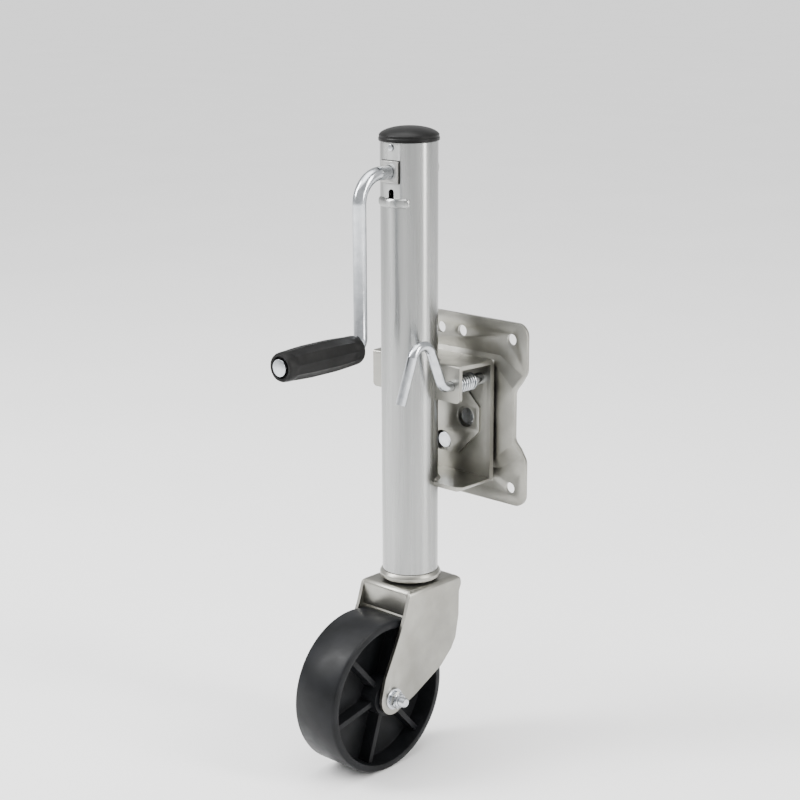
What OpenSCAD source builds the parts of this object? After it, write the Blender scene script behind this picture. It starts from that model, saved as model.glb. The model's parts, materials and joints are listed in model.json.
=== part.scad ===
// Swing-up trailer tongue jack with a caster wheel, side crank and bolt-on swivel bracket.
// Origin: centre of the four corner bolts on the back face of the mounting plate.
// +X along the wheel axle, +Y towards the trailer frame, +Z up. Millimetres.

/* [Mounting plate] */
// Sheet thickness of the mounting plate
plate_t = 3.5; // [3:0.5:3.5]
// Half width of the plate at its four lobes
plate_half_w = 93.5; // [92:0.5:96]
// Half height of the plate
plate_half_h = 89.5; // [88:0.5:92]
// Half width of the plate at its waist
waist_half_w = 81.5; // [81:0.5:85]
// Horizontal spacing of the corner bolts
bolt_span_x = 150; // [146:1:152]
// Vertical spacing of the corner bolts
bolt_span_z = 146; // [142:1:148]
// Spacing of the extra bolt pair at the top and at the bottom
bolt_pair_x = 26.9; // [24:0.1:30]
// Diameter of every mounting bolt hole
bolt_hole_d = 11.1; // [9:0.1:12]

/* [Tubes] */
// Outside diameter of the fixed outer tube
tube_d = 54; // [54:0.1:54.4]
// Wall thickness of the outer tube
tube_wall = 2.5; // [2.4:0.1:2.5]
// Height of the outer tube's top above the bolt centre
tube_top = 259.3; // [258:0.1:261]
// Depth of the outer tube's bottom below the bolt centre
tube_bottom = 154.8; // [154.4:0.1:155]
// Distance from the tube axis to the mounting face
standoff = 63.7; // [63.5:0.1:64]

/* [Crank] */
// Diameter of the crank rod
rod_d = 12.7; // [12.3:0.1:12.7]
// Height of the crank axis above the bolt centre
crank_z = 232.7; // [232.6:0.1:233.2]
// Distance from the crank axis to the grip axis
crank_throw = 157.6; // [150:0.1:158]
// Distance from the tube axis to the crank arm
arm_out = 66.5; // [66:0.5:70]
// Distance from the tube axis to the outer end of the grip's cap
grip_out = 170; // [169.5:0.1:172]

/* [Caster] */
// Wheel diameter
wheel_d = 152.4; // [150:0.1:152.4]
// Wheel width over the tread
wheel_w = 52; // [50:1:52]
// Horizontal offset from the kingpin to the wheel axle
trail = 59.4; // [58:0.1:60]
// Depth of the axle below the bolt centre
axle_drop = 266.2; // [266:0.1:267]
// Half width over the outsides of the fork legs
fork_half_w = 32.2; // [32:0.1:32.4]

/* [Swivel and pull pin] */
// Depth of the swivel axis below the bolt centre
swivel_drop = 7.5; // [7.2:0.1:7.8]
// Sideways distance from the swivel axis to the pull pin
pin_x = 45; // [44.8:0.1:45.5]
// Height of the pull pin above the swivel axis
pin_up = 40.3; // [40:0.1:41]
// Diameter of the pull pin's tip
pin_tip_d = 11.5; // [11:0.1:12]
// Diameter of the rod that forms the pull handle
hook_rod_d = 9.6; // [9:0.1:10]

/* [Hidden] */
$fn = 64;
eps = 0.01;
rod_lap = 0.05;        // how far each straight run of a bent rod laps into the next
run_gap = 0.08;      // radial running clearance
body_gap = 0.3;      // gap between pieces that move past each other

// Outer tube
tube_r = tube_d / 2;
bore_r = tube_r - tube_wall;
flat_out = tube_r - 2.6;             // distance from the axis to the pressed flat
flat_in = flat_out - 2.4;
rib_z = 204.6;                       // centre of the raised rib under the flat
rib_h = 8.5;
rib_out = 2;
rib_half_angle = 43;
slot_z = 212.6;                        // grease slot in the flat
slot_w = 6.5;
slot_h = 8.7;

// Swivel stack: distances from the tube axis towards the frame
pad_raise = 3.8;                     // height of the pressed pad over the plate's ears
pad_front = standoff - plate_t - pad_raise;
pad_back = pad_front + plate_t;
tray_t = 4;
web_back = pad_front - 2.4;
web_front = web_back - tray_t;
octagon_t = 2.2;
octagon_front = web_front - octagon_t;
hub_flange_r = 50;
journal_r = 35.5;
journal_back = pad_back + body_gap;
retainer_r = 38.6;
retainer_t = 2.1;
swivel_bolt_ring = 29;
swivel_bolt_count = 4;
swivel_bolt_r = 4.6;
swivel_head_af = 15.6;
swivel_head_h = 3.4;
pocket_r = 10.25;
pocket_floor = web_back;
swivel_z = -swivel_drop;

// Channel bracket
tray_half_w = 60;
tray_half_h = 60.25;
side_lip = 6.5;                      // depth of the short side lips
tab_front = 8;                       // front face of the turned-down tab
tab_half_w = 55.5;
tab_bottom = 17;
tab_corner_r = 4;
floor_front = 4;
tray_top = swivel_z + tray_half_h;
tray_bottom = swivel_z - tray_half_h;
tube_seat_r = tube_r + 0.02;

// Pull pin
pin_z = swivel_z + pin_up;
pin_tip_r = pin_tip_d / 2;
hook_r = hook_rod_d / 2;
pin_shoulder = 36.4;
hook_start = 3.7;
collar_r = 8.6;
collar_t = 1.8;
spring_out_r = 8.75;
spring_in_r = 6.45;
hook_path = [["straight", pin_shoulder - hook_start], ["bend", 11, 66],
             ["straight", 33.1], ["bend", 14, -135], ["straight", 44.1]];

// Crank and gears
rod_r = rod_d / 2;
bush_r = rod_r + run_gap;
top_bend_r = 26;
low_bend_r = 10;
rod_back = 32;                       // how far the crank reaches past the tube axis
rod_front = 166;
grip_z = crank_z - crank_throw;
gear_teeth = 18;
pinion_teeth = 12;
gear_module = 2;
gear_pitch_r = gear_module * gear_teeth / 2;
pinion_pitch_r = gear_module * pinion_teeth / 2;
cone_len = norm([gear_pitch_r, pinion_pitch_r]);
gear_angle = atan2(gear_pitch_r, pinion_pitch_r);
tooth_face = 6;
tooth_add = 1.5;
tooth_ded = 2.2;
tooth_t = 2.5;
inner_end = (cone_len - tooth_face) / cone_len;
cross_pin_r = 1.5;

// Screw, nut and inner tube
screw_r = 8;
screw_top = crank_z - 7.8;
screw_bottom = -95;
thread_top = 196;
thread_pitch = 6;
thread_depth = 0.9;
bearing_z = 202;
bearing_t = 4;
race_t = 2;
race_r = 16;
ball_r = 2.45;
ball_ring = 12;
ball_count = 10;
lower_race_z = bearing_z + bearing_t;
ball_z = lower_race_z + race_t + ball_r + 0.05;
upper_race_z = ball_z + ball_r + 0.05;
gear_base_z = upper_race_z + race_t;
inner_r = 22.25;
inner_bore_r = 19.95;
inner_top = 190;
inner_bottom = -157.1;
nut_h = 20;
nut_z = 165;
guide_h = 20;
wear_h = 10;

// Caster
collar_top = -tube_bottom - body_gap;
collar_base = -162.6;
fork_top = -164.9;
fork_t = 3.5;
lip_front = 36;                      // distance from the kingpin to the fork's front lip
lip_bottom = -190.4;
kingpin_r = 6.35;
kingpin_end = -181;
wheel_r = wheel_d / 2;
axle_r = 4.75;
sleeve_r = 7.9;
hub_bush_r = 11;
hub_r = 19;
rim_t = 9;
recess_depth = 19;
spoke_count = 6;
spoke_phase = 42;

// Moves its children from the tube's axis to the part's frame.
module at_tube() {
  translate([0, -standoff, 0]) children();
}

// A cylinder along +Y from distance y0 to distance y1 in front of or behind the tube axis.
module along_y(r, y0, y1, x = 0, z = 0, sides = 64) {
  at_tube()
    translate([x, y0, z])
      rotate([-90, 0, 0]) cylinder(r = r, h = y1 - y0, $fn = sides);
}

// A box given by its lowest and highest corners, measured from the tube axis.
module tube_box(low, high) {
  at_tube() translate(low) cube(high - low);
}

// A vertical cylinder or tube on the tube axis.
module on_axis(r, z0, z1, hole_r = 0, sides = 96) {
  at_tube()
    difference() {
      translate([0, 0, z0]) cylinder(r = r, h = z1 - z0, $fn = sides);
      if (hole_r > 0)
        translate([0, 0, z0 - 1]) cylinder(r = hole_r, h = z1 - z0 + 2, $fn = sides);
    }
}

// Round rod that starts along +X and follows a list of straight runs and bends.
module bent_rod(r, path, i = 0) {
  if (i < len(path)) {
    if (path[i][0] == "straight") {
      translate([-rod_lap, 0, 0]) rotate([0, 90, 0]) rotate([0, 0, 37])
        cylinder(r = r - eps, h = path[i][1] + 2 * rod_lap);
      translate([path[i][1], 0, 0]) bent_rod(r, path, i + 1);
    } else {
      bend_r = path[i][1];
      turn = path[i][2];
      side = sign(turn);
      mirror([0, side < 0 ? 1 : 0, 0])
        translate([0, bend_r, 0]) rotate([0, 0, -90])
          rotate_extrude(angle = abs(turn)) translate([bend_r, 0]) circle(r = r);
      translate([0, side * bend_r, 0]) rotate([0, 0, turn])
        translate([0, -side * bend_r, 0]) bent_rod(r, path, i + 1);
    }
  }
}

// Hexagonal prism along +X, given across its flats.
module hex_x(af, x0, x1) {
  translate([x0, 0, 0]) rotate([0, 90, 0])
    cylinder(r = af / 2 / cos(30), h = x1 - x0, $fn = 6);
}

// Corner points of one quarter, mirrored to all four.
function four_fold(points) = [
  for (p = points) [p[0], p[1]],
  for (i = [len(points) - 1:-1:0]) [points[i][0], -points[i][1]],
  for (p = points) [-p[0], -p[1]],
  for (i = [len(points) - 1:-1:0]) [-points[i][0], points[i][1]]
];

// Outline of the mounting plate, seen from the front.
module plate_outline() {
  lobe = 12;
  offset(r = lobe, $fn = 48) offset(delta = -lobe)
    offset(r = -lobe, $fn = 48) offset(delta = lobe)
      polygon(four_fold([[0, plate_half_h], [plate_half_w, plate_half_h],
                         [plate_half_w, 43], [waist_half_w, 24]]));
}

// Outline that stands in the XZ plane, from distance y0 to y1 from the mounting face.
module standing(y0, y1) {
  translate([0, y1, 0]) rotate([90, 0, 0]) linear_extrude(height = y1 - y0) children();
}

// The pressed pad: a low frustum with its wide end at y_wide.
module pad_block(y_wide, y_narrow, grow = 0) {
  hull() {
    standing(min(y_wide, y_wide + eps), y_wide + eps)
      polygon(four_fold([[61 + grow, 56 + grow], [88 + grow, 40 + grow]]));
    standing(y_narrow, y_narrow + eps)
      polygon(four_fold([[58 + grow, 47 + grow], [80 + grow, 27 + grow]]));
  }
}

module mounting_plate() {
  color([0.62, 0.61, 0.57])
    difference() {
      intersection() {
        union() {
          standing(-plate_t, 0) plate_outline();
          pad_block(-plate_t, -plate_t - pad_raise);
        }
        standing(-plate_t - pad_raise, 0) plate_outline();
      }
      pad_block(0, -pad_raise, -1.5);
      along_y(journal_r + run_gap, pad_front - 1, standoff + 1, 0, swivel_z, 128);
      for (turn = [-90:90:90])
        translate([0, 0, swivel_z]) rotate([0, turn, 0])
          along_y(pin_tip_r + 0.45, pad_front - 1, standoff + 1, pin_x, pin_up);
      for (side = [-1, 1], end = [-1, 1]) {
        along_y(bolt_hole_d / 2, pad_front, standoff + 1,
                side * bolt_span_x / 2, end * bolt_span_z / 2);
        along_y(bolt_hole_d / 2, pad_front, standoff + 1,
                side * bolt_pair_x / 2, end * bolt_span_z / 2);
      }
    }
}

// Front view of the turned-down tab, with its two lower corners rounded.
module tab_outline() {
  for (side = [-1, 1])
    translate([side * (tab_half_w - tab_corner_r), tab_bottom + tab_corner_r])
      circle(r = tab_corner_r);
  translate([-tab_half_w, tab_bottom + tab_corner_r])
    square([2 * tab_half_w, tray_top - tab_bottom - tab_corner_r]);
  translate([-tab_half_w + tab_corner_r, tab_bottom])
    square([2 * (tab_half_w - tab_corner_r), tray_top - tab_bottom]);
}

// Top view of the top flange: full width at the web and narrower at the tab.
module top_flange_outline() {
  lip_start = web_back - side_lip;
  polygon([[-tab_half_w, tab_front], [tab_half_w, tab_front], [tray_half_w, lip_start],
           [tray_half_w, web_back], [-tray_half_w, web_back], [-tray_half_w, lip_start]]);
}

// Top view of the floor flange, whose left front corner is cut back behind the tube.
module floor_outline() {
  polygon([[-tray_half_w, web_back], [-tray_half_w, 26], [-41, floor_front],
           [tray_half_w - 5, floor_front], [tray_half_w, floor_front + 5],
           [tray_half_w, web_back]]);
}

module channel_bracket() {
  color([0.6, 0.59, 0.55])
    difference() {
      union() {
        tube_box([-tray_half_w, web_front, tray_bottom], [tray_half_w, web_back, tray_top]);
        at_tube() translate([0, 0, tray_top - tray_t])
          linear_extrude(height = tray_t) top_flange_outline();
        at_tube() translate([0, 0, tray_bottom])
          linear_extrude(height = tray_t) floor_outline();
        for (side = [-1, 1])
          tube_box([min(side * tray_half_w, side * (tray_half_w - tray_t)),
                    web_back - side_lip, tray_bottom],
                   [max(side * tray_half_w, side * (tray_half_w - tray_t)),
                    web_back, tray_top]);
        at_tube() translate([0, tab_front + tray_t, 0]) rotate([90, 0, 0])
          linear_extrude(height = tray_t) tab_outline();
      }
      on_axis(tube_seat_r, tray_bottom - 1, tray_top + 1);
      swivel_bolt_places() along_y(pocket_r, web_front - 1, web_back + 1, swivel_bolt_ring);
      along_y(hook_r + run_gap, tab_front - 1, tab_front + tray_t + 1, pin_x, pin_z);
      along_y(pin_tip_r + run_gap, web_front - 1, web_back + 1, pin_x, pin_z);
    }
}

// Repeats its children at every bolt round the swivel axis.
module swivel_bolt_places() {
  for (i = [0:swivel_bolt_count - 1])
    translate([0, 0, swivel_z]) rotate([0, i * 360 / swivel_bolt_count, 0]) children();
}

// Octagonal face of the swivel plate.
module octagon_outline() {
  half_w = 46;
  half_h = 39;
  cut = 27;
  polygon(four_fold([[half_w - cut, half_h], [half_w, half_h - cut]]));
}

module swivel_plate() {
  color([0.6, 0.62, 0.6])
    difference() {
      at_tube() translate([0, web_front, swivel_z]) rotate([90, 0, 0])
        linear_extrude(height = octagon_t) octagon_outline();
      swivel_bolt_places()
        along_y(pocket_r, octagon_front - 1, web_front + 1, swivel_bolt_ring);
    }
}

module swivel_hub() {
  color([0.5, 0.52, 0.53])
    difference() {
      union() {
        along_y(hub_flange_r, web_back, pad_front - body_gap, 0, swivel_z, 128);
        along_y(journal_r, web_back, journal_back, 0, swivel_z, 128);
      }
      swivel_bolt_places()
        along_y(swivel_bolt_r + 0.05, web_back - 1, journal_back + 1, swivel_bolt_ring);
    }
}

module swivel_bolts() {
  color([0.72, 0.75, 0.78])
    swivel_bolt_places() {
      at_tube() translate([swivel_bolt_ring, pocket_floor - 0.02, 0]) rotate([0, 0, -90])
        hex_x(swivel_head_af, 0, swivel_head_h);
      along_y(swivel_bolt_r, pocket_floor - 0.03, journal_back + retainer_t - 0.05,
              swivel_bolt_ring);
    }
}

module swivel_retainer() {
  color([0.6, 0.61, 0.6])
    difference() {
      along_y(retainer_r, journal_back + 0.02, journal_back + retainer_t, 0, swivel_z, 128);
      swivel_bolt_places()
        along_y(swivel_bolt_r + 0.05, journal_back - 1, journal_back + retainer_t + 1,
                swivel_bolt_ring);
    }
}

// A fillet of weld round the tube, seated on a level flange.
module ring_weld(z, start, sweep) {
  leg = 2.6;
  at_tube() translate([0, 0, z]) rotate([0, 0, start])
    rotate_extrude(angle = sweep)
      polygon([[tube_seat_r, 0], [tube_seat_r + leg, 0], [tube_seat_r, leg]]);
}

module weld_beads() {
  color([0.45, 0.44, 0.42]) {
    ring_weld(tray_top, 26, 128);
    ring_weld(tray_bottom + tray_t, 14, 152);
  }
}

// Front-to-back half space used to press the flat into the tube.
module flat_limit(front, z0, z1) {
  tube_box([-40, -front, z0], [40, 40, z1]);
}

module outer_tube() {
  flat_z = rib_z + rib_h / 2;
  color([0.75, 0.77, 0.78])
    difference() {
      union() {
        on_axis(tube_r, -tube_bottom, flat_z);
        intersection() {
          on_axis(tube_r, flat_z - eps, tube_top);
          flat_limit(flat_out, flat_z - 1, tube_top + 1);
        }
        at_tube() translate([0, 0, rib_z - rib_h / 2])
          rotate([0, 0, -90 - rib_half_angle])
            rotate_extrude(angle = 2 * rib_half_angle, $fn = 96)
              translate([bore_r + 1, 0]) square([tube_wall + rib_out - 1, rib_h]);
      }
      on_axis(bore_r, -tube_bottom - 1, flat_z + eps);
      intersection() {
        on_axis(bore_r, flat_z, tube_top + 1);
        flat_limit(flat_in, flat_z - 1, tube_top + 2);
      }
      along_y(9.05, -tube_r - 1, -15, 0, crank_z);
      along_y(8.55, 15, tube_r + 1, 0, crank_z);
      along_y(1.7, -tube_r - 1, -15, 0, tube_top - 4.7);
      tube_box([-slot_w / 2, -tube_r - 1, slot_z - slot_h / 2],
               [slot_w / 2, -15, slot_z + slot_h / 2 - slot_w / 2]);
      along_y(slot_w / 2, -tube_r - 1, -15, 0, slot_z + slot_h / 2 - slot_w / 2);
    }
}

module top_cap() {
  rim_r = tube_r + 1.4;
  rim_h = 3.4;
  rise = 9.9;
  dome_r = (rim_r * rim_r + rise * rise) / 2 / rise;
  plug_r = flat_in - 0.4;
  wall = 2.4;
  color([0.1, 0.1, 0.11])
    at_tube() translate([0, 0, tube_top])
      difference() {
        union() {
          cylinder(r = rim_r, h = rim_h, $fn = 96);
          translate([0, 0, -9]) cylinder(r = plug_r, h = 9 + eps, $fn = 96);
          intersection() {
            translate([0, 0, rim_h + rise - dome_r]) sphere(r = dome_r, $fn = 96);
            translate([0, 0, rim_h - eps]) cylinder(r = rim_r, h = rise + 1, $fn = 96);
          }
        }
        translate([0, 0, -10]) cylinder(r = plug_r - wall, h = 11, $fn = 96);
        translate([0, -plug_r - 1, -4.7]) rotate([-90, 0, 0]) cylinder(r = 1.65, h = 5);
      }
}

module cap_rivet() {
  color([0.7, 0.71, 0.72]) {
    along_y(3, -flat_out - 1.3, -flat_out, 0, tube_top - 4.7);
    along_y(1.6, -flat_out - eps, -flat_in + 3, 0, tube_top - 4.7);
  }
}

gasket_t = 0.8;
bush_flange_t = 2.4;

module bush_gasket() {
  half = 10.6;
  color([0.08, 0.08, 0.08])
    difference() {
      tube_box([-half, -flat_out - gasket_t, crank_z - half], [half, -flat_out, crank_z + half]);
      along_y(9.05, -flat_out - 2, -flat_out + 1, 0, crank_z);
    }
}

module crank_bush_front() {
  half = 10;
  front = -flat_out - gasket_t;
  color([0.42, 0.42, 0.4])
    difference() {
      union() {
        tube_box([-half, front - bush_flange_t, crank_z - half], [half, front, crank_z + half]);
        along_y(9, front - eps, -flat_in + 0.2, 0, crank_z);
      }
      along_y(bush_r, front - 5, -flat_in + 2, 0, crank_z);
    }
}

module crank_bush_rear() {
  color([0.42, 0.42, 0.4])
    difference() {
      union() {
        along_y(8.5, 21, tube_r + 0.4, 0, crank_z);
        along_y(10.5, tube_r + 0.3, tube_r + 2, 0, crank_z);
      }
      along_y(bush_r, 20, tube_r + 3, 0, crank_z);
    }
}

module bearing_plate() {
  color([0.5, 0.5, 0.5]) on_axis(bore_r - 0.05, bearing_z, bearing_z + bearing_t, screw_r + 0.4);
}

module thrust_race_lower() {
  color([0.6, 0.6, 0.62]) on_axis(race_r, lower_race_z, lower_race_z + race_t, screw_r + 0.4);
}

module thrust_balls() {
  color([0.8, 0.8, 0.82])
    at_tube()
      for (i = [0:ball_count - 1])
        rotate([0, 0, i * 360 / ball_count]) translate([ball_ring, 0, ball_z])
          sphere(r = ball_r, $fn = 32);
}

module guide_bush() {
  color([0.14, 0.14, 0.14])
    on_axis(bore_r, -tube_bottom, -tube_bottom + guide_h, inner_r + run_gap);
}

module pin_spring() {
  color([0.7, 0.72, 0.73])
    difference() {
      along_y(spring_out_r, tab_front + tray_t, pin_shoulder - collar_t, pin_x, pin_z);
      along_y(spring_in_r, tab_front, pin_shoulder, pin_x, pin_z);
    }
}

module pull_pin_handle() {
  color([0.74, 0.76, 0.78])
    at_tube() translate([pin_x, pin_shoulder, pin_z]) rotate([90, 0, -90])
      bent_rod(hook_r, hook_path);
}

module pull_pin_nose() {
  color([0.74, 0.76, 0.78])
    along_y(pin_tip_r, pin_shoulder + rod_lap + 0.02, pad_front - body_gap, pin_x, pin_z);
}

module pin_collar() {
  color([0.7, 0.72, 0.73])
    difference() {
      along_y(collar_r, pin_shoulder - collar_t, pin_shoulder - 0.02, pin_x, pin_z);
      along_y(hook_r + 0.05, 0, pin_shoulder + 1, pin_x, pin_z);
    }
}

module crank_handle() {
  path = [["straight", rod_back + arm_out - top_bend_r], ["bend", top_bend_r, -90],
          ["straight", crank_throw - top_bend_r - low_bend_r], ["bend", low_bend_r, 90],
          ["straight", rod_front - arm_out - low_bend_r]];
  color([0.74, 0.76, 0.78])
    difference() {
      at_tube() translate([0, rod_back, crank_z]) rotate([90, 0, -90]) bent_rod(rod_r, path);
      pinion_pin_shape(cross_pin_r + 0.03);
    }
}

module crank_clip() {
  color([0.5, 0.5, 0.5])
    difference() {
      along_y(10, tube_r + 2.3, tube_r + 3.6, 0, crank_z);
      along_y(rod_r + 0.02, tube_r, tube_r + 5, 0, crank_z);
    }
}

// One straight bevel tooth on a cone, drawn with the cone's apex at the origin and the
// gear's axis along -Z. The tooth narrows towards the apex.
module bevel_tooth(angle) {
  half_root = tooth_t / 2 + (tooth_ded + 0.3) * tan(20);
  half_tip = tooth_t / 2 - tooth_add * tan(20);
  rotate([0, 180 - angle, 0]) translate([0, 0, cone_len]) mirror([0, 0, 1])
    linear_extrude(height = tooth_face, scale = inner_end)
      polygon([[-tooth_add, -half_tip], [-tooth_add, half_tip],
               [tooth_ded + 0.3, half_root], [tooth_ded + 0.3, -half_root]]);
}

// Distance along and across a cone element: a point [radius, -depth] from the apex.
function cone_point(angle, along, out) =
  [along * sin(angle) + out * cos(angle), -along * cos(angle) + out * sin(angle)];

module bevel_blank(angle, bore, back, hub) {
  outer = cone_point(angle, cone_len, -tooth_ded);
  inner = cone_point(angle, cone_len * inner_end, -tooth_ded * inner_end);
  rotate_extrude($fn = 96)
    polygon([[bore, inner[1]], inner, outer, [hub, -back], [bore, -back]]);
}

module gear_pin_shape(r) {
  at_tube() translate([-13, 0, gear_base_z + 2.6]) rotate([0, 90, 0]) cylinder(r = r, h = 26);
}

module pinion_pin_shape(r) {
  at_tube() translate([-8.2, -pinion_depth - 1.2, crank_z]) rotate([0, 90, 0])
    cylinder(r = r, h = 16.4);
}

pinion_depth = gear_pitch_r - 0.8;   // where the pinion's cross pin lies

module bevel_pinion() {
  angle = 90 - gear_angle;
  back = gear_pitch_r + 2.3;
  color([0.45, 0.44, 0.42])
    difference() {
      at_tube() translate([0, 0, crank_z]) rotate([-90, 0, 0]) {
        bevel_blank(angle, rod_r + 0.03, back, 9);
        for (i = [0:pinion_teeth - 1])
          rotate([0, 0, (i + 0.5) * 360 / pinion_teeth]) bevel_tooth(angle);
      }
      pinion_pin_shape(cross_pin_r + 0.03);
    }
}

module pinion_pin() {
  color([0.5, 0.5, 0.5]) pinion_pin_shape(cross_pin_r);
}

module grip_end_cap() {
  cap_back = grip_recess - 0.2 - grip_front;
  color([0.78, 0.8, 0.82])
    difference() {
      along_y(8, -grip_out, cap_back, 0, grip_z);
      along_y(rod_r + 0.02, -rod_front - rod_lap - 0.03, cap_back + 1, 0, grip_z);
    }
}

grip_back = arm_out + rod_r + body_gap;
grip_front = 168.6;
grip_recess = 4;

module handle_grip() {
  length = grip_front - grip_back;
  end_r = 13.2;
  swell = 2.2;
  steps = 24;
  flutes = 10;
  flute_r = 6;
  flute_depth = 0.9;
  color([0.1, 0.1, 0.1])
    at_tube() translate([0, -grip_back, grip_z]) rotate([90, 0, 0])
      difference() {
        rotate_extrude($fn = 96)
          polygon(concat([[bush_r, 0]],
            [for (i = [0:steps]) [end_r + swell * sin(180 * i / steps), length * i / steps]],
            [[bush_r, length]]));
        for (i = [0:flutes - 1])
          rotate([0, 0, i * 360 / flutes])
            translate([end_r + swell - flute_depth + flute_r, 0, 9])
              cylinder(r = flute_r, h = length - 18);
        translate([0, 0, length - grip_recess]) cylinder(r = 10, h = grip_recess + 1);
        translate([0, 0, -1]) cylinder(r = 9.5, h = 10);
      }
}

module lead_screw() {
  turns = floor((thread_top - screw_bottom) / thread_pitch);
  low_r = screw_r - thread_depth;
  ridge = thread_pitch / 4;
  color([0.55, 0.54, 0.52])
    difference() {
      at_tube()
        rotate_extrude($fn = 64)
          polygon(concat([[0, screw_bottom]],
            [for (i = [0:turns - 1], k = [0:3])
              [k == 0 || k == 3 ? low_r : screw_r,
               screw_bottom + i * thread_pitch + (k + 0.5) * ridge]],
            [[low_r, thread_top], [screw_r, thread_top + 1], [screw_r, screw_top],
             [0, screw_top]]));
      gear_pin_shape(cross_pin_r + 0.03);
    }
}

module bevel_gear() {
  color([0.45, 0.44, 0.42])
    difference() {
      at_tube() translate([0, 0, crank_z]) {
        bevel_blank(gear_angle, screw_r + 0.03, crank_z - gear_base_z, 15);
        for (i = [0:gear_teeth - 1])
          rotate([0, 0, (i + 0.5) * 360 / gear_teeth]) bevel_tooth(gear_angle);
      }
      gear_pin_shape(cross_pin_r + 0.03);
    }
}

module gear_pin() {
  color([0.5, 0.5, 0.5]) gear_pin_shape(cross_pin_r);
}

module thrust_race_upper() {
  color([0.6, 0.6, 0.62])
    on_axis(race_r, upper_race_z, upper_race_z + race_t, screw_r + 0.03);
}

module inner_tube() {
  color([0.72, 0.74, 0.75]) on_axis(inner_r, inner_bottom, inner_top, inner_bore_r);
}

module wear_ring() {
  color([0.14, 0.14, 0.14])
    on_axis(bore_r - run_gap, inner_top - wear_h, inner_top, inner_r + 0.02);
}

module lead_nut() {
  color([0.68, 0.58, 0.35])
    on_axis(inner_bore_r - 0.02, nut_z, nut_z + nut_h, screw_r + run_gap);
}

module end_plug() {
  color([0.5, 0.5, 0.5])
    on_axis(inner_bore_r - 0.02, inner_bottom, inner_bottom + 15, kingpin_r + 0.02);
}

module swivel_collar() {
  color([0.66, 0.65, 0.61])
    at_tube()
      rotate_extrude($fn = 96)
        polygon([[kingpin_r + 0.02, collar_base], [28.8, collar_base],
                 [29.6, collar_base + 1], [29.6, collar_base + 4.4],
                 [27.6, collar_top], [inner_r + 0.05, collar_top],
                 [inner_r + 0.05, inner_bottom - 0.02], [kingpin_r + 0.02, inner_bottom - 0.02]]);
}

module kingpin() {
  color([0.6, 0.6, 0.6]) {
    on_axis(10, inner_bottom + 15.02, inner_bottom + 21);
    on_axis(kingpin_r, kingpin_end, inner_bottom + 15.5);
  }
}

module caster_washer() {
  color([0.2, 0.2, 0.2])
    on_axis(26, fork_top + 0.1, collar_base - 0.02, kingpin_r + 0.05);
}

washer_low = fork_top - fork_t - 0.1;

module kingpin_washer() {
  color([0.6, 0.6, 0.6]) on_axis(12, washer_low - 2, washer_low, kingpin_r + 0.05);
}

module kingpin_nut() {
  color([0.6, 0.6, 0.6])
    at_tube()
      difference() {
        translate([0, 0, washer_low - 11])
          cylinder(r = 19 / 2 / cos(30), h = 8.98, $fn = 6);
        translate([0, 0, washer_low - 12]) cylinder(r = kingpin_r + 0.02, h = 12);
      }
}

// Side view of a fork leg as [distance from the kingpin, height].
module leg_outline() {
  boss = 16;
  translate([-trail, -axle_drop]) circle(r = boss, $fn = 64);
  polygon([[-lip_front + 5, fork_top], [-lip_front + 1.5, fork_top - 1.5],
           [-lip_front, fork_top - 5], [-42, -187.4], [-53.7, -212.4], [-69.6, -243],
           [-trail - boss, -axle_drop + 3], [-trail, -axle_drop - boss + 0.5],
           [-trail + 6.2, -axle_drop - boss + 1.4], [-30.6, -273], [9.7, -253.3],
           [25, -239.4], [31, -229.4], [35.5, -207.4], [36, -182.4], [38.6, -176.4],
           [fork_back, -173], [fork_back - 1.5, -169], [fork_back - 5, -166],
           [fork_back - 10, fork_top]]);
}

fork_back = 39;

// A block whose top corners are rounded, from x0 to x1 and from z0 up to z1.
module arched(x0, x1, z0, z1, corner) {
  translate([x0, z0]) square([x1 - x0, z1 - z0 - corner]);
  translate([x0 + corner, z0]) square([x1 - x0 - 2 * corner, z1 - z0]);
  for (x = [x0 + corner, x1 - corner]) translate([x, z1 - corner]) circle(r = corner, $fn = 48);
}

// Front view of the fork's bent sheet: two legs joined by the top.
module fork_sheet_outline() {
  inner = fork_half_w - fork_t;
  difference() {
    arched(-fork_half_w, fork_half_w, -axle_drop - 20, fork_top, 5);
    arched(-inner, inner, -axle_drop - 21, fork_top - fork_t, 1.5);
  }
}

// Side view of the front lip, which bends down from the top sheet.
module lip_outline() {
  intersection() {
    difference() {
      arched(-lip_front, 20, lip_bottom, fork_top, 5);
      arched(-lip_front + fork_t, 30, lip_bottom - 1, fork_top - fork_t, 1.5);
    }
    translate([-lip_front, lip_bottom]) square([10, 40]);
  }
}

module caster_fork() {
  lip_end = 28;
  color([0.66, 0.65, 0.61])
    difference() {
      union() {
        intersection() {
          at_tube() translate([0, 100, 0]) rotate([90, 0, 0])
            linear_extrude(height = 200) fork_sheet_outline();
          at_tube() translate([-40, 0, 0]) rotate([90, 0, 90])
            linear_extrude(height = 80) leg_outline();
        }
        at_tube() translate([-lip_end, 0, 0]) rotate([90, 0, 90])
          linear_extrude(height = 2 * lip_end) lip_outline();
      }
      on_axis(kingpin_r + run_gap, fork_top - 10, fork_top + 5);
      at_tube() translate([-50, -trail, -axle_drop]) rotate([0, 90, 0])
        cylinder(r = axle_r + 0.1, h = 100);
    }
}

// Moves its children to the wheel's axle.
module at_axle() {
  at_tube() translate([0, -trail, -axle_drop]) children();
}

axle_washer_t = 1.8;
axle_nut_h = 8.6;
axle_end = 48.5;

module axle_bolt() {
  head_x = -fork_half_w - axle_washer_t;
  color([0.72, 0.75, 0.78])
    at_axle() {
      hex_x(14.3, head_x - 6, head_x);
      translate([head_x - eps, 0, 0]) rotate([0, 90, 0])
        cylinder(r = axle_r, h = axle_end - head_x);
    }
}

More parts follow.
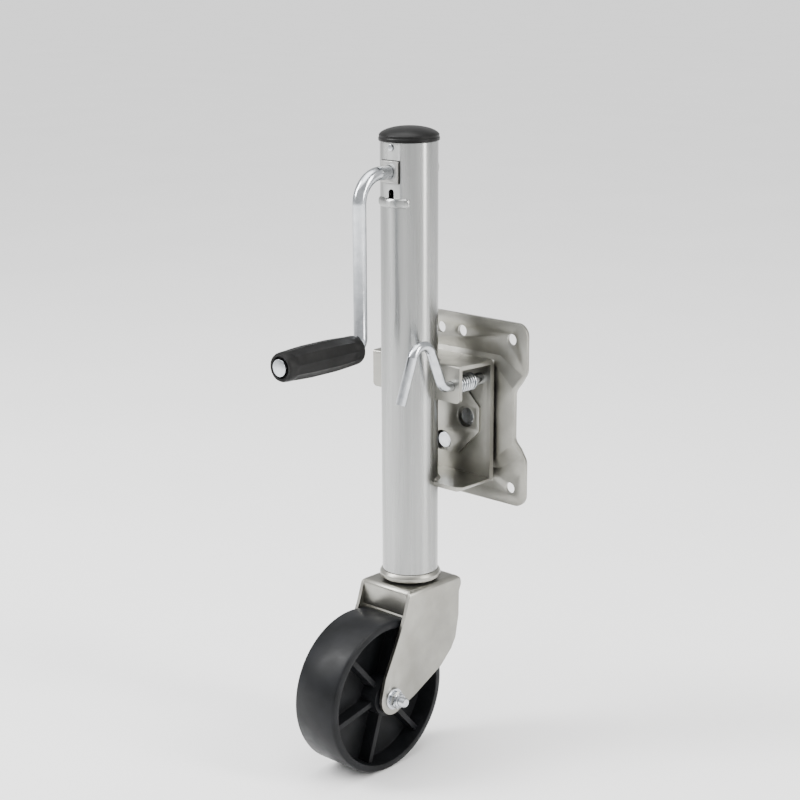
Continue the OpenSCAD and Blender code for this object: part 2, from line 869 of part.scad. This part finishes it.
module axle_washers() {
  color([0.7, 0.73, 0.76])
    at_axle()
      for (side = [0, 1])
        mirror([side, 0, 0]) translate([fork_half_w, 0, 0]) rotate([0, 90, 0])
          difference() {
            cylinder(r = 10.5, h = axle_washer_t - 0.02);
            translate([0, 0, -1]) cylinder(r = axle_r + 0.05, h = 5);
          }
}

module axle_nut() {
  seat = fork_half_w + axle_washer_t;
  color([0.72, 0.75, 0.78])
    at_axle()
      difference() {
        union() {
          hex_x(15, seat, seat + axle_nut_h - 2.6);
          translate([seat, 0, 0]) rotate([0, 90, 0]) cylinder(r = 7.3, h = axle_nut_h);
        }
        translate([seat - 1, 0, 0]) rotate([0, 90, 0])
          cylinder(r = axle_r + 0.02, h = axle_nut_h + 2);
      }
}

module axle_sleeve() {
  half = fork_half_w - fork_t;
  color([0.6, 0.6, 0.6])
    at_axle()
      difference() {
        translate([-half, 0, 0]) rotate([0, 90, 0]) cylinder(r = sleeve_r, h = 2 * half);
        translate([-half - 1, 0, 0]) rotate([0, 90, 0])
          cylinder(r = axle_r + 0.05, h = 2 * half + 2);
      }
}

// Half cross-section of the wheel: tread, one recess on each side and the hub.
module wheel_section() {
  half = wheel_w / 2;
  edge = 3;
  web = half - recess_depth;
  rim_in = wheel_r - rim_t;
  points = [[hub_bush_r + 0.05, half], [hub_r, half], [hub_r, web], [rim_in, web],
            [rim_in + 1.5, half], [wheel_r - edge, half], [wheel_r - 0.9, half - 0.9],
            [wheel_r, half - edge]];
  polygon(concat(points,
    [for (i = [len(points) - 1:-1:0]) [points[i][0], -points[i][1]]]));
}

module caster_wheel() {
  half = wheel_w / 2;
  spoke_t = 5;
  spoke_inset = 5.5;
  color([0.09, 0.09, 0.1])
    at_axle() rotate([0, 90, 0]) {
      rotate_extrude($fn = 128) wheel_section();
      for (i = [0:spoke_count - 1])
        rotate([0, 0, spoke_phase + i * 360 / spoke_count])
          translate([hub_r - 1, -spoke_t / 2, -half + spoke_inset])
            cube([wheel_r - rim_t - hub_r + 1.5, spoke_t, wheel_w - 2 * spoke_inset]);
    }
}

module wheel_bush() {
  color([0.3, 0.3, 0.3])
    at_axle() rotate([0, 90, 0])
      difference() {
        translate([0, 0, -wheel_w / 2]) cylinder(r = hub_bush_r, h = wheel_w);
        translate([0, 0, -wheel_w / 2 - 1])
          cylinder(r = sleeve_r + run_gap, h = wheel_w + 2);
      }
}

mounting_plate();
channel_bracket();
swivel_plate();
swivel_hub();
swivel_bolts();
swivel_retainer();
weld_beads();
outer_tube();
top_cap();
cap_rivet();
bush_gasket();
crank_bush_front();
crank_bush_rear();
bearing_plate();
thrust_race_lower();
thrust_balls();
guide_bush();
pin_spring();
pull_pin_handle();
pull_pin_nose();
pin_collar();
crank_handle();
crank_clip();
bevel_pinion();
pinion_pin();
grip_end_cap();
handle_grip();
lead_screw();
bevel_gear();
gear_pin();
thrust_race_upper();
inner_tube();
wear_ring();
lead_nut();
end_plug();
swivel_collar();
kingpin();
caster_washer();
kingpin_washer();
kingpin_nut();
caster_fork();
axle_bolt();
axle_washers();
axle_nut();
axle_sleeve();
caster_wheel();
wheel_bush();
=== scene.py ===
import json
import math

import bmesh
import bpy
from mathutils import Matrix, Vector

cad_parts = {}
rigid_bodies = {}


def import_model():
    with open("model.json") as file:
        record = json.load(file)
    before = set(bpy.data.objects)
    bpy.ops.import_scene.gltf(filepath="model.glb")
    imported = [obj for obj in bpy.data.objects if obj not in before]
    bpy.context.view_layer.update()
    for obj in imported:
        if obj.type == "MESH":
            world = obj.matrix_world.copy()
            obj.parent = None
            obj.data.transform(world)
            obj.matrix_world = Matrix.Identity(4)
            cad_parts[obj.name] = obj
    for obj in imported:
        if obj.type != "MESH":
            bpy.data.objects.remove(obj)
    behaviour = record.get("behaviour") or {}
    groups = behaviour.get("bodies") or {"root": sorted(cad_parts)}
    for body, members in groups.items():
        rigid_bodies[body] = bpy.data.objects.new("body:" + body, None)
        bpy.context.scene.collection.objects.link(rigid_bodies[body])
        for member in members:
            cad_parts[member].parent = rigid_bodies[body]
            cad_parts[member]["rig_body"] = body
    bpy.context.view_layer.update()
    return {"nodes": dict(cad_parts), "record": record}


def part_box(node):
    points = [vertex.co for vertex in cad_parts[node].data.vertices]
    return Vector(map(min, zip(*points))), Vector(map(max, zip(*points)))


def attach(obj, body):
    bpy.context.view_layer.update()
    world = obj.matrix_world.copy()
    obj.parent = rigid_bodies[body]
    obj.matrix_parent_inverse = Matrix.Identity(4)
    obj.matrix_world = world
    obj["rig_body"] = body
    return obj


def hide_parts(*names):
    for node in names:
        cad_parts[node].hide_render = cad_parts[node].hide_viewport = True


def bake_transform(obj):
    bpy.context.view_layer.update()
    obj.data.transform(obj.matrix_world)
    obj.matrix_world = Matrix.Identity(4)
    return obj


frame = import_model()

scene = bpy.context.scene

TUBE_Y = -0.0637          # tube axis, in the row frame
CRANK_Z = 0.2327
SWIVEL_Z = -0.0075
PIN_X, PIN_Z = 0.045, 0.0328
AXLE = Vector((0.0, TUBE_Y - 0.0594, -0.2662))
FLOOR_Z = -0.3425


# ---------------------------------------------------------------- materials
def new_material(name):
    m = bpy.data.materials.new(name)
    m.use_nodes = True
    nt = m.node_tree
    return m, nt, nt.nodes["Principled BSDF"]


def noise(nt, scale, detail=4.0, stretch=None):
    """A noise texture in object space, stretched along an axis when asked."""
    co = nt.nodes.new("ShaderNodeTexCoord")
    mp = nt.nodes.new("ShaderNodeMapping")
    tx = nt.nodes.new("ShaderNodeTexNoise")
    nt.links.new(co.outputs["Object"], mp.inputs["Vector"])
    nt.links.new(mp.outputs["Vector"], tx.inputs["Vector"])
    if stretch:
        mp.inputs["Scale"].default_value = stretch
    tx.inputs["Scale"].default_value = scale
    tx.inputs["Detail"].default_value = detail
    return tx.outputs["Fac"]


def ramp(nt, fac, low, high, a=0.35, b=0.65):
    r = nt.nodes.new("ShaderNodeValToRGB")
    r.color_ramp.elements[0].position = a
    r.color_ramp.elements[1].position = b
    r.color_ramp.elements[0].color = (*low, 1)
    r.color_ramp.elements[1].color = (*high, 1)
    nt.links.new(fac, r.inputs["Fac"])
    return r.outputs["Color"]


def spread(nt, fac, low, high):
    m = nt.nodes.new("ShaderNodeMapRange")
    m.inputs["From Min"].default_value = 0.3
    m.inputs["From Max"].default_value = 0.7
    m.inputs["To Min"].default_value = low
    m.inputs["To Max"].default_value = high
    nt.links.new(fac, m.inputs["Value"])
    return m.outputs["Result"]


def bump(nt, bsdf, fac, strength, distance):
    b = nt.nodes.new("ShaderNodeBump")
    b.inputs["Strength"].default_value = strength
    b.inputs["Distance"].default_value = distance
    nt.links.new(fac, b.inputs["Height"])
    nt.links.new(b.outputs["Normal"], bsdf.inputs["Normal"])


def surface(name, low, high, rough, metal=1.0, scale=60, stretch=None, grain=(0.1, 0.0002), fine=400):
    m, nt, bsdf = new_material(name)
    patch = noise(nt, scale, 5.0, stretch)
    nt.links.new(ramp(nt, patch, low, high), bsdf.inputs["Base Color"])
    nt.links.new(spread(nt, noise(nt, scale * 1.7, 3.0, stretch), *rough), bsdf.inputs["Roughness"])
    bsdf.inputs["Metallic"].default_value = metal
    bsdf.inputs["Specular IOR Level"].default_value = 0.5 if metal else 0.14
    bump(nt, bsdf, noise(nt, fine, 2.0, stretch), *grain)
    return m


def brush_round(m, amount):
    """Fine grinding lines round the Z axis, which draw each highlight out along it."""
    nt = m.node_tree
    bsdf = nt.nodes["Principled BSDF"]
    tangent = nt.nodes.new("ShaderNodeTangent")
    tangent.direction_type = "RADIAL"
    tangent.axis = "Z"
    nt.links.new(tangent.outputs["Tangent"], bsdf.inputs["Tangent"])
    bsdf.inputs["Anisotropic"].default_value = amount
    bsdf.inputs["Anisotropic Rotation"].default_value = 0.25


DRAWN = (1.0, 1.0, 0.04)   # stretches a pattern into streaks along Z
MAT = {
    "tube_zinc": surface("tube_zinc", (0.30, 0.305, 0.30), (0.40, 0.405, 0.40), (0.24, 0.32),
                         scale=90, stretch=DRAWN, grain=(0.06, 0.0002)),
    "plate_zinc": surface("plate_zinc", (0.27, 0.265, 0.24), (0.35, 0.345, 0.315), (0.28, 0.42), scale=28,
                          grain=(0.12, 0.0002)),
    "bright_zinc": surface("bright_zinc", (0.46, 0.48, 0.505), (0.57, 0.59, 0.615), (0.16, 0.26), scale=120),
    "dull_steel": surface("dull_steel", (0.36, 0.36, 0.35), (0.42, 0.42, 0.41), (0.4, 0.5), scale=150),
    "bearing_steel": surface("bearing_steel", (0.66, 0.66, 0.68), (0.76, 0.76, 0.78), (0.1, 0.2)),
    "gear_steel": surface("gear_steel", (0.34, 0.32, 0.28), (0.48, 0.46, 0.42), (0.25, 0.45), scale=90),
    "weld_steel": surface("weld_steel", (0.32, 0.31, 0.29), (0.50, 0.49, 0.46), (0.4, 0.6), scale=240,
                          grain=(0.6, 0.0006), fine=300),
    "nut_brass": surface("nut_brass", (0.62, 0.48, 0.22), (0.74, 0.60, 0.32), (0.25, 0.4)),
    "black_plastic": surface("black_plastic", (0.005, 0.005, 0.005), (0.010, 0.010, 0.010), (0.30, 0.42),
                             metal=0.0, grain=(0.15, 0.0002), fine=700),
    "grip_plastic": surface("grip_plastic", (0.004, 0.004, 0.004), (0.009, 0.009, 0.009), (0.42, 0.56),
                            metal=0.0, grain=(0.2, 0.0002), fine=900),
    "wheel_plastic": surface("wheel_plastic", (0.005, 0.0055, 0.006), (0.009, 0.0095, 0.011), (0.34, 0.46),
                             metal=0.0, scale=40, grain=(0.12, 0.0002), fine=800),
    "black_rubber": surface("black_rubber", (0.010, 0.010, 0.010), (0.020, 0.020, 0.020), (0.6, 0.8),
                            metal=0.0),
}
brush_round(MAT["tube_zinc"], 0.85)
SLOT = {s["node"]: s["material_slot"] for s in frame["record"]["subparts"]}


def finish_piece(obj, slot):
    obj.data.materials.clear()
    obj.data.materials.append(MAT[slot])
    return obj


for name, obj in frame["nodes"].items():
    finish_piece(obj, SLOT[name])


# ---------------------------------------------------------------- mesh helpers
def add_mesh(bm, name):
    me = bpy.data.meshes.new(name)
    bm.to_mesh(me)
    bm.free()
    obj = bpy.data.objects.new(name, me)
    scene.collection.objects.link(obj)
    return obj


def smooth(obj, angle=35):
    """Smooth faces, with edges sharper than the angle kept crisp."""
    bm = bmesh.new()
    bm.from_mesh(obj.data)
    for f in bm.faces:
        f.smooth = True
    limit = math.radians(angle)
    for e in bm.edges:
        e.smooth = len(e.link_faces) == 2 and e.calc_face_angle(0.0) < limit
    bm.to_mesh(obj.data)
    bm.free()
    return obj


def apply_modifiers(obj):
    deps = bpy.context.evaluated_depsgraph_get()
    obj_eval = obj.evaluated_get(deps)
    me = bpy.data.meshes.new_from_object(obj_eval)
    obj.modifiers.clear()
    obj.data = me
    return obj


def clean_copy(node):
    """The node's own shape as a welded mesh with its flat faces joined."""
    bm = bmesh.new()
    bm.from_mesh(frame["nodes"][node].data)
    bmesh.ops.remove_doubles(bm, verts=bm.verts, dist=2e-6)
    bmesh.ops.dissolve_limit(bm, angle_limit=math.radians(0.4), verts=bm.verts, edges=bm.edges)
    return bm


def round_edges(bm, radius, wanted, segments=4, angle=30):
    """Rounds the sharp edges whose middle satisfies wanted."""
    chosen = [e for e in bm.edges if len(e.link_faces) == 2
              and e.calc_face_angle(0.0) > math.radians(angle)
              and wanted((e.verts[0].co + e.verts[1].co) / 2, e)]
    if chosen:
        bmesh.ops.bevel(bm, geom=chosen, offset=radius, segments=segments, profile=0.5,
                        affect="EDGES", clamp_overlap=True, offset_type="OFFSET")


def refine(node, bevel=0.0004, bends=(), segments=2, angle=32):
    """A finished copy of a CAD node: its bends rounded, its edges eased and its faces smooth."""
    bm = clean_copy(node)
    for radius, wanted in bends:
        round_edges(bm, radius, wanted)
    obj = add_mesh(bm, node + "_look")
    if bevel:
        mod = obj.modifiers.new("edge", "BEVEL")
        mod.width = bevel
        mod.segments = segments
        mod.limit_method = "ANGLE"
        mod.angle_limit = math.radians(angle)
        mod.use_clamp_overlap = True
        apply_modifiers(obj)
    smooth(obj, 40)
    return place(obj, node)


def place(obj, node):
    """Puts a finished piece on its node's body, in that node's place."""
    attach(obj, frame["nodes"][node]["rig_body"])
    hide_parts(node)
    return finish_piece(obj, SLOT[node])


# ---------------------------------------------------------------- pieces
def near(value, target, tolerance=0.0004):
    return abs(value - target) < tolerance


def along(edge, axis):
    d = edge.verts[1].co - edge.verts[0].co
    return d.length > 0 and abs(d[axis]) > 0.98 * d.length


def sweep(points, radius, name, sides=16):
    """A closed round wire through the points."""
    bm = bmesh.new()
    rings = []
    up = Vector((0, 1, 0))
    for i, p in enumerate(points):
        t = (points[min(i + 1, len(points) - 1)] - points[max(i - 1, 0)]).normalized()
        u = (up - up.dot(t) * t).normalized()
        v = t.cross(u)
        rings.append([bm.verts.new(p + radius * (math.cos(k * math.tau / sides) * u
                                                 + math.sin(k * math.tau / sides) * v))
                      for k in range(sides)])
    for r0, r1 in zip(rings, rings[1:]):
        for k in range(sides):
            bm.faces.new((r0[k], r0[(k + 1) % sides], r1[(k + 1) % sides], r1[k]))
    bm.faces.new(rings[0][::-1])
    bm.faces.new(rings[-1])
    bmesh.ops.recalc_face_normals(bm, faces=bm.faces)
    return smooth(add_mesh(bm, name), 60)


def lathe(name, profile, origin, axis, steps=96, push=None):
    """Turns (radius, distance along axis) points round an axis.

    push adds to a radius by its angle, distance and own value.
    """
    bm = bmesh.new()
    rings = []
    w = Vector(axis).normalized()
    u = w.orthogonal().normalized()
    v = w.cross(u)
    for radius, d in profile:
        if radius < 1e-6:
            rings.append([bm.verts.new(origin + d * w)])
            continue
        ring = []
        for k in range(steps):
            t = math.tau * k / steps
            rr = radius + (push(t, d, radius) if push else 0.0)
            ring.append(bm.verts.new(origin + d * w + rr * (math.cos(t) * u + math.sin(t) * v)))
        rings.append(ring)
    pairs = list(zip(rings, rings[1:]))
    if len(rings[0]) > 1 and len(rings[-1]) > 1:
        pairs.append((rings[-1], rings[0]))
    for r0, r1 in pairs:
        if len(r0) == len(r1) == 1:
            continue
        for k in range(steps):
            j = (k + 1) % steps
            if len(r0) == 1:
                bm.faces.new((r0[0], r1[k], r1[j]))
            elif len(r1) == 1:
                bm.faces.new((r0[k], r1[0], r0[j]))
            else:
                bm.faces.new((r0[k], r1[k], r1[j], r0[j]))
    bmesh.ops.recalc_face_normals(bm, faces=bm.faces)
    return smooth(add_mesh(bm, name), 30)


def merge(name, *parts):
    """One object from several."""
    bm = bmesh.new()
    for part in parts:
        bm.from_mesh(part.data)
        bpy.data.objects.remove(part)
    return add_mesh(bm, name)


def hexagon(name, origin, axis, flats, height, chamfer=0.0007):
    """Hexagonal prism whose outer corners are turned to a cone, as on a nut."""
    corner = flats / 2 / math.cos(math.pi / 6)

    def push(t, d, radius):
        a = (t + math.pi / 6) % (math.pi / 3) - math.pi / 6
        flat = flats / 2 / math.cos(a)
        cone = corner - max(0.0, chamfer - (height - d)) * 1.7 - max(0.0, chamfer - d) * 1.7
        return min(flat, cone) - radius if radius > flats / 4 else 0.0

    levels = [0.0, chamfer * 0.5, chamfer, height - chamfer, height - chamfer * 0.5, height]
    profile = [(0.0, 0.0)] + [(corner, d) for d in levels] + [(0.0, height)]
    return lathe(name, profile, origin, axis, 144, push)


def prism(name, outline, y0, y1):
    """A cutter: an (x, z) outline drawn from y0 to y1."""
    bm = bmesh.new()
    front = [bm.verts.new((x, y0, z)) for x, z in outline]
    back = [bm.verts.new((x, y1, z)) for x, z in outline]
    n = len(outline)
    bm.faces.new(front)
    bm.faces.new(back[::-1])
    for k in range(n):
        bm.faces.new((front[k], back[k], back[(k + 1) % n], front[(k + 1) % n]))
    bmesh.ops.recalc_face_normals(bm, faces=bm.faces)
    return add_mesh(bm, name)


def ring_outline(x, z, radius, steps=48):
    return [(x + radius * math.cos(math.tau * k / steps), z + radius * math.sin(math.tau * k / steps))
            for k in range(steps)]


def tube():
    """Outer tube: its round wall runs softly into the pressed flat, over a rounded rib."""
    low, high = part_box("outer_tube")
    steps, outer_r, inner_r = 240, 0.027, 0.0245
    outer_flat, inner_flat, flat_z = 0.0244, 0.022, 0.20885
    rib_z, rib_half, rib_rise, rib_reach = 0.2046, 0.00425, 0.00195, math.radians(43)
    edge = 0.0003

    def soft_min(a, b, k=0.0012):
        h = max(k - abs(a - b), 0.0) / k
        return min(a, b) - h * h * k * 0.25

    def flat(round_r, plane, angle):
        return soft_min(round_r, plane / max(0.05, math.cos(angle)))

    def outer(angle, z):
        r = outer_r
        if z > flat_z - 0.001:
            r = flat(outer_r, outer_flat, angle)
        run = max(0.0, (angle - rib_reach) * outer_r + rib_half)
        d = math.hypot(run, z - rib_z) / rib_half
        if d < 1:
            r = max(r, outer_r + rib_rise * math.sqrt(1 - d ** 2.6))
        return r

    def inner(angle, z):
        return flat(inner_r, inner_flat, angle) if z > flat_z else inner_r

    # The rings lie closer together over the rib and the start of the flat.
    rows = [low.z, low.z + edge] + [low.z + 0.002 + i * 0.012 for i in range(29)]
    rows = [z for z in rows if z < 0.196] + [0.197 + i * 0.0004 for i in range(46)]
    rows += [0.222, 0.23, 0.24, 0.25, high.z - edge, high.z]
    bm = bmesh.new()
    shells = []
    for radius, zs in ((outer, rows), (inner, [low.z, flat_z - 0.0006, flat_z + 0.0006, high.z])):
        rings = []
        for i, z in enumerate(zs):
            ring = []
            for k in range(steps):
                t = math.tau * k / steps
                r = radius(abs(math.remainder(t, math.tau)), z)
                if radius is outer and i in (0, len(zs) - 1):
                    r -= edge
                ring.append(bm.verts.new((r * math.sin(t), TUBE_Y - r * math.cos(t), z)))
            rings.append(ring)
        for r0, r1 in zip(rings, rings[1:]):
            for k in range(steps):
                j = (k + 1) % steps
                bm.faces.new((r0[k], r0[j], r1[j], r1[k]))
        shells.append((rings[0], rings[-1]))
    for a, b in ((shells[0][0], shells[1][0]), (shells[0][1], shells[1][1])):
        for k in range(steps):
            j = (k + 1) % steps
            bm.faces.new((a[k], a[j], b[j], b[k]))
    bmesh.ops.recalc_face_normals(bm, faces=bm.faces)
    obj = add_mesh(bm, "outer_tube_look")
    half, base, top = 0.00325, 0.20825, 0.21695
    slot = [(-half, base), (half, base)] + [
        (half * math.cos(math.pi * k / 16), top - half + half * math.sin(math.pi * k / 16))
        for k in range(17)]
    front_hole_r, rear_hole_r, rivet_hole_r, rivet_z = 0.00905, 0.00855, 0.0017, 0.2546
    front = (TUBE_Y - 0.032, TUBE_Y - 0.015)
    rear = (TUBE_Y + 0.015, TUBE_Y + 0.032)
    cutters = [prism("cut0", slot, *front),
               prism("cut1", ring_outline(0, CRANK_Z, front_hole_r), *front),
               prism("cut2", ring_outline(0, CRANK_Z, rear_hole_r), *rear),
               prism("cut3", ring_outline(0, rivet_z, rivet_hole_r, 24), *front)]
    cutter = merge("cutter", *cutters)
    mod = obj.modifiers.new("holes", "BOOLEAN")
    mod.object = cutter
    mod.operation = "DIFFERENCE"
    mod.solver = "EXACT"
    apply_modifiers(obj)
    bpy.data.objects.remove(cutter)
    place(smooth(obj, 40), "outer_tube")


def axle_hardware():
    """Flanged axle nut, and the axle bolt with its thread showing past the nut."""
    thread_r, root_r, pitch = 0.0047, 0.00425, 0.0012
    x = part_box("axle_nut")[0].x
    ax = Vector((1, 0, 0))
    at = Vector((x, AXLE.y, AXLE.z))
    body = hexagon("nut_body", at, ax, 0.0149, 0.0062)
    collar = lathe("nut_collar", [(0.0, 0.003), (0.0069, 0.003), (0.0069, 0.0072), (0.0060, 0.0084),
                                  (0.0052, 0.0085), (0.0049, 0.0080), (0.0, 0.0080)], at, ax)
    place(merge("axle_nut_look", body, collar), "axle_nut")
    low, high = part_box("axle_bolt")
    head = hexagon("bolt_head", Vector((low.x, AXLE.y, AXLE.z)), ax, 0.0142, 0.0059)
    turns = int((high.x - x) / pitch)
    profile = [(0.0, 0.005), (thread_r, 0.005), (thread_r, x - low.x)]
    for i in range(turns):
        d = x - low.x + (i + 0.3) * pitch
        profile += [(thread_r, d), (root_r, d + 0.0006)]
    end = high.x - low.x
    profile += [(0.0046, end - 0.0009), (0.0038, end), (0.0, end)]
    shank = lathe("bolt_shank", profile, Vector((low.x, AXLE.y, AXLE.z)), ax, 64)
    place(merge("axle_bolt_look", head, shank), "axle_bolt")


def swivel_heads():
    """Low hexagonal heads sunk in the swivel plate's pockets, on their plain shanks."""
    low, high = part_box("swivel_bolts")
    circle_r, head_h, shank_r, ax = 0.029, 0.0034, 0.0046, Vector((0, -1, 0))
    shank_end = low.y + head_h - high.y + 0.0001
    parts = []
    for k in range(4):
        t = k * math.pi / 2
        seat = Vector((circle_r * math.cos(t), low.y + head_h, SWIVEL_Z + circle_r * math.sin(t)))
        parts.append(hexagon("head%d" % k, seat, ax, 0.0155, head_h, 0.0009))
        parts.append(lathe("shank%d" % k, [(0.0, 0.0005), (shank_r, 0.0005), (shank_r, shank_end),
                                           (0.0, shank_end)], seat, ax, 48))
    place(merge("swivel_bolts_look", *parts), "swivel_bolts")


def cap():
    """Domed cap with a rolled rim, hollow underneath."""
    low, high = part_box("top_cap")
    rim = (high.x - low.x) / 2
    z0 = high.z - 0.0133
    dome = [(rim * math.sin(math.radians(a)), z0 + 0.0040 + 0.0093 * math.cos(math.radians(a)))
            for a in range(80, 0, -8)]
    profile = [(0.0195, low.z), (0.0214, low.z), (0.0214, z0), (rim - 0.0006, z0), (rim, z0 + 0.0006),
               (rim, z0 + 0.0028), (rim - 0.0005, z0 + 0.0036)] + dome + [
                   (0.0, high.z), (0.0, z0 + 0.002), (0.0195, z0 + 0.002)]
    obj = lathe("top_cap_look", profile, Vector((0, TUBE_Y, 0)), (0, 0, 1), 128)
    place(obj, "top_cap")


def grip():
    """Swelling grip with ten shallow flutes that fade out towards its ends."""
    low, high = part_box("handle_grip")
    z = (low.z + high.z) / 2
    length = high.y - low.y
    top = (high.x - low.x) / 2
    flutes, bore_r = 10, 0.00643

    def flute(t, d, radius):
        if radius < 0.0115:
            return 0.0
        ease = min(1.0, max(0.0, (min(d, length - d) - 0.007) / 0.006))
        a = (t * flutes / math.tau) % 1.0
        return -0.0010 * ease * ease * (3 - 2 * ease) * (1 - abs(2 * a - 1) ** 2.2)

    outer = []
    for i in range(61):
        f = i / 60
        r = min(top, 0.0132 + 0.0022 * math.sin(math.pi * f)) - 0.0008 * max(0.0, 1 - min(f, 1 - f) * 50)
        outer.append((r, length * f))
    profile = [(bore_r, 0.009), (0.0094, 0.009), (0.0096, 0.0003)] + outer + [
        (0.0101, length - 0.0003), (0.0099, length - 0.004), (bore_r, length - 0.004)]
    obj = lathe("handle_grip_look", profile, Vector((0, high.y, z)), (0, -1, 0), 160, flute)
    place(obj, "handle_grip")


def spring_coil():
    """Helical spring with closed end turns, at one fixed length; it is not made to shorten as the pin is
    pulled.
    """
    low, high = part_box("pin_spring")
    wire = 0.00115
    mean = (high.x - low.x) / 2 - wire - 0.00002
    y0, y1 = low.y + wire, high.y - wire
    turns, closed, steps = 6.5, 0.9, 36
    end_rise = 2.05 * wire
    points = []
    for i in range(int(turns * steps) + 1):
        t = i / steps
        if t < closed:
            y = y0 + end_rise * t / closed
        elif t > turns - closed:
            y = y1 - end_rise * (turns - t) / closed
        else:
            f = (t - closed) / (turns - 2 * closed)
            y = y0 + end_rise + f * (y1 - y0 - 2 * end_rise)
        angle = math.tau * t
        points.append(Vector((PIN_X + mean * math.cos(angle), y, PIN_Z + mean * math.sin(angle))))
    obj = sweep(points, wire, "pin_spring_look")
    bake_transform(obj)
    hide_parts("pin_spring")
    finish_piece(obj, "bright_zinc")


def bracket():
    """Bent sheet bracket: its folds and outer corners are rounded."""
    low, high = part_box("channel_bracket")

    def bend(mid, edge):
        if along(edge, 0):
            front_top = near(mid.y, TUBE_Y + 0.008) and near(mid.z, high.z)
            back = near(mid.y, high.y) and (near(mid.z, high.z) or near(mid.z, low.z))
            return front_top or back
        return along(edge, 2) and near(mid.y, high.y) and near(abs(mid.x), high.x)

    def corner(mid, edge):
        return along(edge, 1) and near(abs(mid.x), high.x) and (near(mid.z, low.z) or near(mid.z, high.z))

    refine("channel_bracket", 0.0005, bends=[(0.005, bend), (0.004, corner)])


def plate():
    """Pressed plate, its pad rising in soft folds."""
    def crease(mid, edge):
        """The pad's own folds, and not a hole or the plate's outline."""
        if edge.calc_face_angle(0.0) > math.radians(60):
            return False
        return edge.calc_length() > 0.006

    bm = clean_copy("mounting_plate")
    round_edges(bm, 0.0045, crease, segments=4, angle=12)
    obj = add_mesh(bm, "mounting_plate_look")
    mod = obj.modifiers.new("edge", "BEVEL")
    mod.width = 0.0005
    mod.segments = 2
    mod.limit_method = "ANGLE"
    mod.angle_limit = math.radians(60)
    apply_modifiers(obj)
    smooth(obj, 40)
    return place(obj, "mounting_plate")


def fork():
    """Bent sheet fork, rounded where its top turns down into the legs and the lip."""
    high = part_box("caster_fork")[1]

    def bend(mid, edge):
        if not near(mid.z, high.z):
            return False
        return (along(edge, 1) and near(abs(mid.x), high.x)) or (along(edge, 0) and mid.y < TUBE_Y - 0.03)

    refine("caster_fork", 0.0005, bends=[(0.0045, bend)])


def wheel():
    refine("caster_wheel", 0.0008, segments=3, angle=28)


bracket()
plate()
fork()
wheel()
spring_coil()
tube()
axle_hardware()
swivel_heads()
cap()
grip()
for node in ("swivel_plate", "cap_rivet", "bush_gasket",
             "crank_bush_front", "crank_bush_rear", "grip_end_cap", "swivel_collar",
             "axle_washers", "wheel_bush", "crank_handle",
             "pull_pin_handle", "pull_pin_nose", "pin_collar"):
    refine(node)


# ---------------------------------------------------------------- stage
def studio():
    """Plain pale floor under an even white world."""
    bm = bmesh.new()
    bmesh.ops.create_grid(bm, x_segments=1, y_segments=1, size=30)
    floor = add_mesh(bm, "floor")
    floor.location = (0, 0, FLOOR_Z)
    m, nt, bsdf = new_material("floor_white")
    nt.links.new(ramp(nt, noise(nt, 3.0), (0.93, 0.93, 0.93), (0.95, 0.95, 0.95)), bsdf.inputs["Base Color"])
    bsdf.inputs["Roughness"].default_value = 0.9
    floor.data.materials.append(m)
    world = bpy.data.worlds.new("studio")
    scene.world = world
    world.use_nodes = True
    bg = world.node_tree.nodes["Background"]
    bg.inputs["Color"].default_value = (1, 1, 1, 1)
    bg.inputs["Strength"].default_value = 0.7


def area(name, loc, target, size, power, colour=(1, 1, 1)):
    light = bpy.data.lights.new(name, "AREA")
    light.shape = "RECTANGLE"
    light.size, light.size_y = size
    light.energy = power
    light.color = colour
    obj = bpy.data.objects.new(name, light)
    scene.collection.objects.link(obj)
    obj.location = loc
    obj.rotation_euler = (Vector(target) - Vector(loc)).to_track_quat("-Z", "Y").to_euler()
    return obj


def soft_sun():
    """A broad overhead light that reaches the whole floor evenly."""
    light = bpy.data.lights.new("overhead", "SUN")
    light.energy = 2.6
    light.angle = math.radians(70)
    obj = bpy.data.objects.new("overhead", light)
    scene.collection.objects.link(obj)
    obj.rotation_euler = (math.radians(12), math.radians(-10), 0)


def photo_camera():
    around, above, roll = (math.radians(v) for v in (43.955, 15.695, -0.548))
    back = Vector((math.sin(around) * math.cos(above), -math.cos(around) * math.cos(above),
                   math.sin(above)))
    right = Vector((math.cos(around), math.sin(around), 0))
    up = back.cross(right)
    right, up = (math.cos(roll) * right + math.sin(roll) * up,
                 -math.sin(roll) * right + math.cos(roll) * up)
    cam = bpy.data.cameras.new("camera")
    cam.lens = 79.3
    cam.sensor_width = 36
    cam.shift_x = 0.0426
    cam.shift_y = 0.0426
    cam.clip_start = 0.01
    obj = bpy.data.objects.new("camera", cam)
    scene.collection.objects.link(obj)
    m = Matrix((right, up, back)).transposed().to_4x4()
    m.translation = (1.09923, -1.26450, 0.43716)
    obj.matrix_world = m
    scene.camera = obj


studio()
area("key", (-1.3, -1.5, 1.5), (0, -0.06, 0), (0.6, 1.6), 75)
area("side", (1.9, 0.5, 0.9), (0, -0.06, 0), (0.4, 1.6), 45, (1.0, 0.98, 0.95))
area("top", (0.1, -0.3, 2.2), (0, -0.06, 0), (1.8, 1.8), 30)
soft_sun()
photo_camera()
